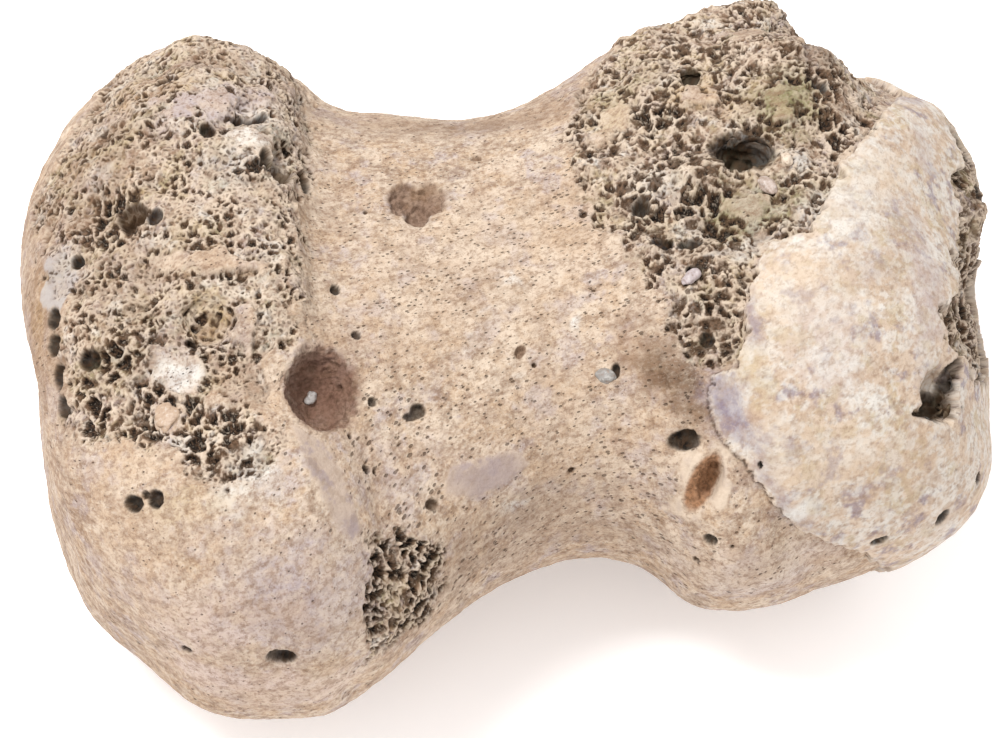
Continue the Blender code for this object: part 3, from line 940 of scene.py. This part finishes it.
# Tints that wander over each kind of surface: where, colour, patches per mm, how soon they start in the
# noise, and strength.
TINT_SOFTNESS = 0.09
TINTS = (
    ("sponge", "dark_brown", 0.16, 0.5, 0.6),
    ("sponge", "yellow_tan", 0.22, 0.49, 0.7),
    ("sponge", "chalk", 0.24, 0.53, 0.7),
    ("sponge", "green", 0.19, 0.53, 0.5),
    ("sponge", "pale_lavender", 0.28, 0.52, 0.55),
    ("sponge", "brown", 0.45, 0.49, 0.8),
    ("sponge", "bright_cream", 0.7, 0.52, 0.6),
    ("sponge", "dark_brown", 0.8, 0.53, 0.6),
    ("skin", "tan", 0.1, 0.47, 0.75),
    ("skin", "bright_cream", 0.13, 0.48, 0.75),
    ("skin", "pale_lavender", 0.2, 0.51, 0.7),
    ("skin", "warm", 0.26, 0.49, 0.8),
    ("skin", "grey_brown", 0.34, 0.52, 0.6),
    ("skin", "brown", 0.5, 0.53, 0.55),
    ("skin", "bright_cream", 0.7, 0.52, 0.5),
    ("skin", "grey_brown", 1.1, 0.53, 0.45),
    ("sheet", "chalk", 0.2, 0.47, 0.65),
    ("sheet", "tan", 0.26, 0.52, 0.6),
    ("sheet", "lavender", 0.3, 0.53, 0.75),
    ("sheet", "yellow_tan", 0.22, 0.52, 0.6),
    ("sheet", "chalk", 0.6, 0.49, 0.6),
    ("sheet", "tan", 0.95, 0.51, 0.6),
    ("sheet", "brown", 1.4, 0.55, 0.5),
    ("filler", "lavender", 0.4, 0.5, 0.45),
    ("filler", "grey_brown", 0.7, 0.5, 0.5),
)

# Sizes of the relief, in mm.
SPONGE_WANDER = 8.0
SHEET_WANDER = 2.4
PORE_SPACING = 2.7
PORE_DEPTH = 0.7
GRAIN_PORE_SPACING = 0.80
SHEET_PIT_SPACING = 3.2
SHEET_PIT_DEPTH = 0.35
GROOVE_DEPTH = 0.45
FILLER_RISE = 0.06
TORN_HEIGHT = 1.3
SPONGE_DROP = 0.25
TINT_STEP = 31.0


def relief_tree():
    tree = bpy.data.node_groups.new("relief", "GeometryNodeTree")
    sockets = tree.interface
    sockets.new_socket("Skin", in_out="INPUT", socket_type="NodeSocketGeometry")
    for name, value in (("Cell Depth", 0.62), ("Lump Height", 5.0), ("Sheet Height", 0.55), ("Seed", 3.0)):
        sockets.new_socket(name, in_out="INPUT", socket_type="NodeSocketFloat").default_value = value
    sockets.new_socket("Skin", in_out="OUTPUT", socket_type="NodeSocketGeometry")
    pen = Wire(tree)
    given = pen.node("NodeGroupInput").other

    def stored(name, kind="FLOAT"):
        return pen.node("GeometryNodeInputNamedAttribute", {"data_type": kind}, {"Name": name})

    rest = stored("rest", "FLOAT_VECTOR")
    seed = given("Seed")
    moved_by = pen.node("ShaderNodeCombineXYZ", {}, {0: seed, 1: seed})
    place = rest.vector_math("ADD", rest, moved_by)
    sponge_zone, sheet_zone, filler_zone = stored("sponge"), stored("sheet"), stored("filler")
    open_share, coarse, pit_place = stored("openness"), stored("coarse"), stored("pit_share")
    wobble = place.noise(0.9, 3.0, 0.6) - 0.5

    drift = place.noise(0.30, 2.0, 0.5) - 0.5
    edge = (sponge_zone + wobble * 3.0 + drift * SPONGE_WANDER).step(-0.35, 0.45)
    cells = rest.spongy(coarse)
    lumps = (place.noise(0.14, 4.0, 0.65) - 0.5) * given("Lump Height") * (0.75 + 0.25 * coarse)

    scattered = place.pores(PORE_SPACING, 0.0, 0.04 + 0.34 * open_share) * PORE_DEPTH
    scattered = scattered * open_share.step(0.10, 0.50)
    grained = stored("grain_places", "FLOAT_VECTOR")
    grained = grained.pores(GRAIN_PORE_SPACING, 0.06, 0.10 + 0.42 * open_share, 0.28)
    grained = grained * (0.08 + 0.30 * open_share)
    on_sheet = (sheet_zone + wobble * 2.0 + drift * SHEET_WANDER).step(-0.2, 0.25) * (1.0 - edge)
    sheet_pits = place.pores(SHEET_PIT_SPACING, 0.0, 0.15) * SHEET_PIT_DEPTH
    pitted = (1.0 - edge) * ((1.0 - on_sheet) * (scattered + grained) + on_sheet * sheet_pits)

    groove = sheet_zone.step(-3.4, -0.3) * (1.0 - on_sheet) * GROOVE_DEPTH
    fill_lift = (filler_zone + wobble * 0.5).step(-0.3, 0.3) * FILLER_RISE
    pit_drop = (pit_place + wobble * 0.7).step(1.08, 0.55) * stored("pit_depth")
    rolling = (place.noise(0.09, 3.0, 0.5) - 0.5) * 0.9
    rolling = rolling + (place.noise(0.38, 4.0, 0.6) - 0.5) * (0.35 + 0.7 * open_share)
    in_pit = (pit_place + wobble * 1.2).step(1.2, 0.8)
    filled = (filler_zone + wobble * 1.2).step(-0.3, 0.3)
    zones = {"sponge": edge, "sheet": on_sheet, "filler": filled,
             "skin": (1.0 - edge) * (1.0 - on_sheet) * (1.0 - filled)}
    uncovered = (1.0 - 0.85 * in_pit) * (1.0 - 0.70 * stored("stain_and_painted_light_share"))
    tone = stored("tone", "FLOAT_COLOR")
    for order, (zone, colour, per_mm, begins, strength) in enumerate(TINTS):
        field = place.vector_math("ADD", place, (TINT_STEP * order, 7.0, 0.0)).noise(per_mm, 3.0, 0.7)
        amount = field.step(begins, begins + TINT_SOFTNESS) * zones[zone] * uncovered
        tone = tone.mixed(colour, amount * strength)

    torn = in_pit * (place.noise(1.3, 3.0, 0.6) - 0.5) * TORN_HEIGHT
    height = (rolling + torn + stored("swelling") + on_sheet * given("Sheet Height") + fill_lift
              + edge * (lumps - cells * given("Cell Depth") - SPONGE_DROP) - groove - pitted - pit_drop)

    kept = pen.node("GeometryNodeSetPosition", {}, {
        "Geometry": given("Skin"),
        "Offset": pen.node("GeometryNodeInputNormal").scaled(height * MM),
    })
    for name, kind, field in (("height", "FLOAT", height), ("depth", "FLOAT", edge * cells + pitted),
                              ("edge", "FLOAT", edge), ("tone", "FLOAT_COLOR", tone)):
        kept = pen.node("GeometryNodeStoreNamedAttribute", {"data_type": kind, "domain": "POINT"},
                        {"Geometry": kept, "Name": name, "Value": field})
    real = pen.node("GeometryNodeRealizeInstances", {}, {"Geometry": kept})
    finished = pen.node("GeometryNodeSetMaterial", {}, {"Geometry": real, "Material": fossil})
    end = tree.nodes.new("NodeGroupOutput")
    finished.feeds(end.inputs["Skin"])
    return tree


# Fossil bone
# Mineralised bone: cream to tan, matt, with dirt and painted shade in its pores and cells, painted pale on
# the ridges between them as wear and as a painted highlight, streaked along the shaft and mottled grey on the
# polished sheets.
fossil = bpy.data.materials.new("fossil_bone")
fossil.use_nodes = True
fossil_shader = fossil.node_tree.nodes["Principled BSDF"]
ink = Wire(fossil.node_tree)
BONE_ROUGHNESS = 0.84
SHEET_POLISH = 0.20
FILLER_GLOSS = 0.32
SHINE = 0.16
GRAIN_RELIEF = 0.30
STREAK_RELIEF = 0.05
PORE_RELIEF = 0.34
BUMP_STRENGTH = 0.9
BUMP_DISTANCE = 0.6
FINE_PORE_SPACING = 0.46
FINEST_CELL = 0.58


def on_bone(name, output="Fac"):
    return ink.node("ShaderNodeAttribute", {"attribute_name": name}, output=output)


rest = on_bone("rest", "Vector")
grain_place = on_bone("grain_places", "Vector")
depth, edge, ridge_wear_and_shade, open_share = on_bone("depth"), on_bone("edge"), on_bone("ridge_wear_and_shade"), on_bone("openness")
sheet = on_bone("sheet").step(-0.4, 0.4) * (1.0 - edge)
filled = (on_bone("filler") + (rest.noise(0.8, 3.0) - 0.5) * 1.6).step(-0.4, 0.4)
pit_cover = on_bone("pit_cover")
in_pit = (on_bone("pit_share") + (rest.noise(1.1, 2.0) - 0.5) * 1.4).step(1.2, 0.8)
bare = (1.0 - 0.8 * filled) * (1.0 - 0.5 * in_pit) * (1.0 - 0.9 * pit_cover)
skin_only = (1.0 - sheet) * bare * (1.0 - edge)
# Less where the listed stains, painted shade and painted highlights lie.
clear_of_stain_and_painted_light = 1.0 - 0.65 * on_bone("stain_and_painted_light_share")

grain = rest.noise(1.9, 4.0, 0.72)
streaks = grain_place.noise(0.9, 4.0, 0.7)
fine_streaks = grain_place.noise(3.2, 2.0, 0.65)
fine_share = 0.55 + 0.45 * streaks.step(0.40, 0.60)
pores = grain_place.pores(FINE_PORE_SPACING, 0.04, 0.20 + 0.40 * open_share) * skin_only
small_cells = rest.off_walls(FINEST_CELL).step(0.13, 0.32) * edge * fine_share
tone = on_bone("tone", "Color")

# What lies over the ground colour, from the bottom up: a named colour, and how strongly it shows where.
# The tone of a pit covers all that lies below it.
OVER_THE_BONE = (
    ("brown", streaks.step(0.51, 0.62) * skin_only * 0.48),
    ("bright_cream", streaks.step(0.47, 0.38) * skin_only * clear_of_stain_and_painted_light * 0.45),
    # Ridges painted paler: wear, and a painted highlight.
    ("bright_cream", ridge_wear_and_shade.step(0.02, 0.18) * bare * clear_of_stain_and_painted_light * 0.55),
    # Hollows painted darker: dirt, and painted shade.
    ("dark_brown", ridge_wear_and_shade.step(-0.03, -0.25) * bare * 0.65),
    # Tops of the cell walls painted pale: their own pale colour, and a painted highlight.
    ("bright_cream", edge * depth.step(0.12, 0.0) * clear_of_stain_and_painted_light * 0.55),
    # The deeper a cell or pore, the darker it is painted, down to near black: dirt, and painted shade.
    ("dark_brown", depth.step(0.12, 0.42) * 0.88),
    ("dark", depth.step(0.48, 1.0) * 0.92),
)
OVER_THE_PITS = (
    ("dark_brown", pit_cover * grain.step(0.46, 0.60) * 0.60),
    ("brown", grain.step(0.52, 0.62) * bare * (1.0 - 0.5 * sheet) * 0.50),
    ("bright_cream", grain.step(0.46, 0.37) * bare * clear_of_stain_and_painted_light * 0.42),
    ("dark_brown", fine_streaks.step(0.54, 0.68) * skin_only * 0.25),
    ("chalk", fine_streaks.step(0.44, 0.32) * skin_only * clear_of_stain_and_painted_light * 0.22),
    ("dark_brown", small_cells * 0.80),
    ("dark_brown", pores * 0.70),
)
laid = tone
for colour, amount in OVER_THE_BONE:
    laid = laid.mixed(colour, amount)
laid = ink.node("ShaderNodeMix", {"data_type": "RGBA"}, {0: pit_cover, 6: laid, 7: tone}, output=2)
for colour, amount in OVER_THE_PITS:
    laid = laid.mixed(colour, amount)

height = (grain * GRAIN_RELIEF - fine_streaks * skin_only * STREAK_RELIEF - pores * PORE_RELIEF) * MM
bump_inputs = {"Strength": BUMP_STRENGTH, "Distance": BUMP_DISTANCE, "Height": height}
bump = ink.node("ShaderNodeBump", {}, bump_inputs)
roughness = BONE_ROUGHNESS - SHEET_POLISH * sheet - FILLER_GLOSS * filled + 0.10 * (grain - 0.5)

laid.feeds(fossil_shader.inputs["Base Color"])
roughness.feeds(fossil_shader.inputs["Roughness"])
bump.feeds(fossil_shader.inputs["Normal"])
fossil_shader.inputs["Specular IOR Level"].default_value = SHINE

holder = put_in_scene("weathered_skin", skin)
relief = holder.modifiers.new("relief", "NODES")
relief.node_group = relief_tree()
whole = finished_mesh(holder, "whole_bone")

# Named lengths of the bone
# The finished skin is parted into the parts that an anatomist names. Each keeps the normals of the
# whole, so that no seam shows, and has a flat map of its own for its picture.
count = len(whole.vertices)
places = np.empty(count * 3, np.float32)
whole.vertices.foreach_get("co", places)
places = places.reshape(-1, 3)
normals = np.empty(count * 3, np.float32)
whole.vertex_normals.foreach_get("vector", normals)
normals = normals.reshape(-1, 3)

# What stands proud of the skin round it is painted paler, as wear and as a painted highlight, and what lies
# lower is painted darker, as dirt and as painted shade.
WEAR_AND_SHADE_STEPS = 9
edge_ends = np.empty(len(whole.edges) * 2, np.int32)
whole.edges.foreach_get("vertices", edge_ends)
edge_ends = edge_ends.reshape(-1, 2)
ends = np.concatenate([edge_ends, edge_ends[:, ::-1]])
neighbours = np.bincount(ends[:, 0], minlength=count)
skin_height = np.empty(count, np.float32)
whole.attributes["height"].data.foreach_get("value", skin_height)
level = skin_height.astype(float)
for _ in range(WEAR_AND_SHADE_STEPS):
    round_it = np.bincount(ends[:, 0], weights=level[ends[:, 1]], minlength=count) / neighbours
    level = 0.5 * level + 0.5 * round_it
store(whole, "ridge_wear_and_shade", skin_height - level)
places[:, 2] = np.maximum(places[:, 2], 0.0)

face_count = len(whole.polygons)
starts = np.empty(face_count, np.int32)
whole.polygons.foreach_get("loop_start", starts)
corner_verts = np.empty(len(whole.loops), np.int32)
whole.loops.foreach_get("vertex_index", corner_verts)
totals = np.diff(np.append(starts, len(corner_verts)))
face_first = corner_verts[starts]
face_x = skin_x[face_first]
face_angle = skin_angle[face_first]

JOINT_END_X = -47.0
NECK_X = (-20.0, 16.0)
ROLLER_FACE_X = 46.4
ALL_ROUND = (-90, 360)
# A row gives a part, where it begins and ends along the bone in mm, and the angles that it lies between.
# Where the first angle is the larger one, the part runs through the back and on to the second.
LENGTHS = (
    ("joint_face", -math.inf, JOINT_END_X, *ALL_ROUND),
    ("far_tubercle", JOINT_END_X, NECK_X[0], -20, 95),
    ("near_tubercle", JOINT_END_X, NECK_X[0], 95, 205),
    ("joint_end_back", JOINT_END_X, NECK_X[0], 205, -20),
    ("shaft_palm_side", *NECK_X, 0, 150),
    ("shaft_near_flank", *NECK_X, 150, 255),
    ("shaft_back_side", *NECK_X, 255, 0),
    ("far_condyle", NECK_X[1], ROLLER_FACE_X, -20, 95),
    ("near_condyle", NECK_X[1], ROLLER_FACE_X, 95, 205),
    ("roller_back", NECK_X[1], ROLLER_FACE_X, 205, -20),
    ("roller_face", ROLLER_FACE_X, math.inf, *ALL_ROUND),
)
KEPT_FIELDS = {"rest": "FLOAT_VECTOR", "grain_places": "FLOAT_VECTOR", "tone": "FLOAT_COLOR"}
for name in ("sheet", "filler", "openness", "depth", "edge", "ridge_wear_and_shade", "pit_share", "pit_cover", "stain_and_painted_light_share"):
    KEPT_FIELDS[name] = "FLOAT"
WIDTHS = {"FLOAT": ("value", 1), "FLOAT_VECTOR": ("vector", 3), "FLOAT_COLOR": ("color", 4)}
fields = {}
for name, kind in KEPT_FIELDS.items():
    field, width = WIDTHS[kind]
    values = np.empty(count * width, np.float32)
    whole.attributes[name].data.foreach_get(field, values)
    fields[name] = values.reshape(count, width)

# The flat map of a part is cut open on the palm side where the part runs nearly all round.
NEARLY_ROUND = 300 * ANGLE_TO_MM
CUT_OPEN_AT = 90 * ANGLE_TO_MM
FULL_TURN = 360 * ANGLE_TO_MM
MAP_FILL = 0.98
MAP_MARGIN = 0.01


def part_of_bone(name, chosen):
    """The chosen faces of the whole bone as an object of their own."""
    sizes = totals[chosen]
    first = np.concatenate([[0], np.cumsum(sizes)[:-1]]).astype(np.int32)
    old_first = np.repeat(starts[chosen], sizes)
    within = np.arange(sizes.sum(), dtype=np.int32) - np.repeat(first, sizes)
    used = corner_verts[old_first + within]
    kept, renumbered = np.unique(used, return_inverse=True)
    mesh = bpy.data.meshes.new(name)
    mesh.vertices.add(len(kept))
    mesh.vertices.foreach_set("co", places[kept].ravel())
    mesh.loops.add(len(used))
    mesh.loops.foreach_set("vertex_index", renumbered.astype(np.int32))
    mesh.polygons.add(len(sizes))
    mesh.polygons.foreach_set("loop_start", first)
    mesh.update(calc_edges=True)
    for attribute, kind in KEPT_FIELDS.items():
        store(mesh, attribute, fields[attribute][kept], kind)
    if name in ("joint_face", "roller_face"):
        flat = places[kept][:, 1:3] / MM
    else:
        flat = np.stack([skin_x[kept], skin_angle[kept] * ANGLE_TO_MM], 1)
        if np.ptp(flat[:, 1]) > NEARLY_ROUND:
            flat[:, 1] = np.where(flat[:, 1] < CUT_OPEN_AT, flat[:, 1] + FULL_TURN, flat[:, 1])
    flat = (flat - flat.min(0)) / (flat.max(0) - flat.min(0)).max()
    picture = mesh.uv_layers.new(name="OFBake")
    flat = flat[renumbered] * MAP_FILL + MAP_MARGIN
    picture.uv.foreach_set("vector", flat.astype(np.float32).ravel())
    mesh.shade_smooth()
    mesh.normals_split_custom_set_from_vertices(normals[kept])
    mesh.materials.append(fossil)
    made = put_in_scene(name, mesh)
    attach(made, "root")
    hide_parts("toe_bone")


for name, begins, ends_at, low, high in LENGTHS:
    past, before = face_angle >= low, face_angle < high
    between = past & before if low < high else past | before
    part_of_bone(name, (face_x >= begins) & (face_x < ends_at) & between)
bpy.data.meshes.remove(whole)

# Grains lodged in the bone
# Small pebbles and crumbs of the river gravel that the bone lay in. They stuck in its pores and hollows,
# worn smooth and round, or flat where they lie against the skin. A row gives a grain's place in the
# picture, its three half widths in mm, its turn and its colour.
GRAINS = (
    ((785, 158), (0.85, 0.62, 0.5), 50, "bright_cream"),
    ((690, 276), (0.75, 1.25, 0.45), 20, "pale_lavender"),
    ((766, 184), (1.5, 0.8, 0.5), 15, "filler"),
    ((310, 397), (0.8, 0.6, 0.45), 20, "glassy"),
    ((605, 375), (1.05, 0.85, 0.35), 0, "grey"),
    ((165, 415), (1.9, 1.3, 0.55), -20, "tan"),
)
GRAIN_UNEVENNESS = 0.34
DENTS_ACROSS = 1.3
DENTS_APART = 900.0
STONE_ROUGHNESS = 0.5
RAY_WIDTH = 0.00025


def skin_under(pixel):
    """The place on the weathered skin that a pixel sees."""
    sight = Vector(seen(*pixel)[0] * MM) + Vector(AXIS_PLACE_MM * MM) - camera.location
    offset = places - np.array(camera.location)
    along = offset @ np.array(sight.normalized())
    across = np.linalg.norm(offset - along[:, None] * np.array(sight.normalized()), axis=1)
    return Vector(places[np.argmin(np.where(across < RAY_WIDTH, along, FAR_OFF))])


grains = bmesh.new()
grain_tone = grains.verts.layers.float_color.new("tone")
for pixel, size, turn, colour in GRAINS:
    pebble = bmesh.ops.create_icosphere(grains, subdivisions=4, radius=1.0)["verts"]
    outwards = Vector(seen(*pixel)[1])
    lie = outwards.to_track_quat("Z", "Y") @ Quaternion((0, 0, 1), math.radians(turn))
    middle = skin_under(pixel)
    for vert in pebble:
        worn_in = 1.0 + GRAIN_UNEVENNESS * noise.noise(vert.co * DENTS_ACROSS + middle * DENTS_APART)
        shaped = Vector(vert.co[k] * size[k] * MM for k in range(3)) * worn_in
        vert[grain_tone] = (*from_screen(colour), 1.0)
        vert.co = middle + lie @ shaped
for face in grains.faces:
    face.smooth = True
grain_mesh = bpy.data.meshes.new("lodged_grains")
grains.to_mesh(grain_mesh)
grains.free()

stone = bpy.data.materials.new("lodged_stone")
stone.use_nodes = True
stone_shader = stone.node_tree.nodes["Principled BSDF"]
stone_shader.inputs["Roughness"].default_value = STONE_ROUGHNESS
chisel = Wire(stone.node_tree)
speckle = chisel.node("ShaderNodeTexCoord", output="Object").scaled(1.0 / MM).noise(2.2, 4.0, 0.7)
stone_colour = chisel.node("ShaderNodeAttribute", {"attribute_name": "tone"}, output="Color")
stone_colour = stone_colour.mixed("brown", speckle.step(0.50, 0.66) * 0.55)
stone_colour = stone_colour.mixed("chalk", speckle.step(0.46, 0.36) * 0.35)
stone_colour.feeds(stone_shader.inputs["Base Color"])
grain_mesh.materials.append(stone)
lodged = put_in_scene("lodged_grains", grain_mesh)
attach(lodged, "root")
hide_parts("toe_bone")
